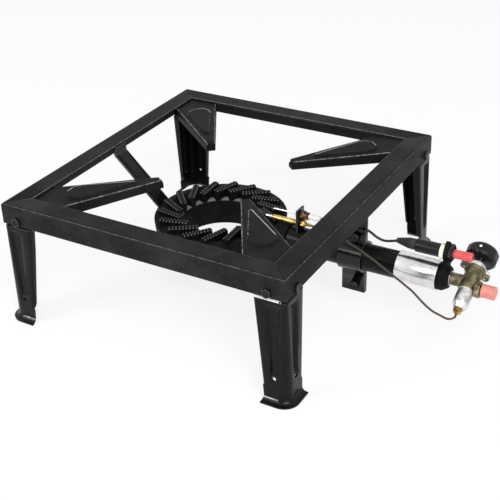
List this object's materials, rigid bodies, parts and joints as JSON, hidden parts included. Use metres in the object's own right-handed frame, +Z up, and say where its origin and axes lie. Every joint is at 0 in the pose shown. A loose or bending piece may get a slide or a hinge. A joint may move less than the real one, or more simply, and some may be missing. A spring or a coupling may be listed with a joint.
{
  "type": "stock pot range",
  "caption": "Low square gas stove frame on pressed legs with folded pot arms, a ribbed ring burner, mixing tube with air sleeve, safety valve with knob, and push-button igniter.",
  "frame": {"origin": "on the floor, under the middle of the square frame", "axes": "+Z up, -Y toward the front where the mixing tube and the valve stand out, +X to the right"},
  "size_m": [0.4204, 0.5505, 0.16],
  "materials": {
    "black_paint": "satin",
    "cast_black": "rough",
    "dark_bolt": "satin",
    "zinc_steel": "satin",
    "bright_steel": "polished",
    "bright_alloy": "satin",
    "olive_brass": "cast",
    "gold_brass": "machined",
    "brown_brass": "tarnished",
    "copper_tube": "aged copper",
    "black_plastic": "moulded",
    "black_rubber": "moulded",
    "ivory_plastic": "moulded",
    "red_plastic": "moulded",
    "pink_plastic": "translucent",
    "white_paint": "matte",
    "white_ceramic": "glazed"
  },
  "bodies": {
    "stove": {"rail_front": "black_paint", "rail_back": "black_paint", "rail_left": "black_paint", "rail_right": "black_paint", "leg_front_left": "black_paint", "leg_front_right": "black_paint", "leg_back_left": "black_paint", "leg_back_right": "black_paint", "leg_bolts": "dark_bolt", "leg_nuts": "zinc_steel", "arm_front_left": "black_paint", "arm_front_right": "black_paint", "arm_back_left": "black_paint", "arm_back_right": "black_paint", "burner_body": "cast_black", "burner_crown": "cast_black", "burner_strip": "black_paint", "strip_screw": "dark_bolt", "mixing_tube": "cast_black", "clamp_hanger": "black_paint", "clamp_saddle": "black_paint", "clamp_bolts": "dark_bolt", "clamp_nuts": "zinc_steel", "mixer_end": "cast_black", "injector_jet": "gold_brass", "outlet_washer": "bright_steel", "valve_body": "olive_brass", "bonnet": "bright_alloy", "bonnet_screws": "zinc_steel", "spindle_spring": "bright_steel", "magnet_cap": "bright_alloy", "magnet_unit": "gold_brass", "lead_nut": "gold_brass", "inlet_union": "olive_brass", "igniter_body": "black_plastic", "igniter_boot": "black_rubber", "igniter_collar": "ivory_plastic", "igniter_lock_nut": "black_plastic", "igniter_spring": "bright_steel", "piezo_element": "white_ceramic", "pilot_bracket": "black_paint", "thermocouple_head": "gold_brass", "probe_nut": "gold_brass", "electrode_ceramic": "white_ceramic", "electrode_wire": "bright_steel", "electrode_nut": "brown_brass", "thermocouple_lead": "copper_tube", "ignition_lead": "black_rubber"},
    "sleeve": {"air_sleeve": "bright_steel"},
    "knob_push": {"thrust_washer": "bright_steel"},
    "knob": {"spindle": "zinc_steel", "knob": "black_plastic", "knob_dot": "white_paint"},
    "plug": {"gas_plug": "gold_brass"},
    "safety": {"safety_disc": "brown_brass"},
    "button": {"igniter_button": "red_plastic"},
    "cap": {"inlet_cap": "pink_plastic"}
  },
  "joints": [
    {"name": "sleeve_slide", "type": "slide", "parent": "stove", "child": "sleeve", "axis": [0, 1, 0], "range_m": [0, 0.018]},
    {"name": "knob_push", "type": "slide", "parent": "stove", "child": "knob_push", "axis": [-0.9205, 0, -0.3907], "range_m": [0, 0.004], "stiffness_N_per_m": 1500, "springref_m": -0.004, "deforming": ["spindle_spring"]},
    {"name": "knob_turn", "type": "hinge", "parent": "knob_push", "child": "knob", "pos_m": [0.03728, -0.318, 0.09782], "axis": [0.9205, 0, 0.3907], "range_deg": [0, 90]},
    {"name": "plug_turn", "type": "hinge", "parent": "stove", "child": "plug", "pos_m": [0, -0.318, 0.082], "axis": [0.9205, 0, 0.3907], "range_deg": [0, 90]},
    {"name": "safety_slide", "type": "slide", "parent": "stove", "child": "safety", "axis": [-0.9205, 0, -0.3907], "range_m": [0, 0.004]},
    {"name": "button_push", "type": "slide", "parent": "stove", "child": "button", "axis": [0, 1, 0], "range_m": [0, 0.006], "stiffness_N_per_m": 600, "springref_m": -0.005, "deforming": ["igniter_spring"]},
    {"name": "cap_pull", "type": "slide", "parent": "stove", "child": "cap", "axis": [0, -1, 0], "range_m": [0, 0.018]}
  ],
  "couplings": [
    {"joint": "plug_turn", "follows": "knob_turn", "ratio": 1},
    {"joint": "safety_slide", "follows": "knob_push", "ratio": 1}
  ]
}
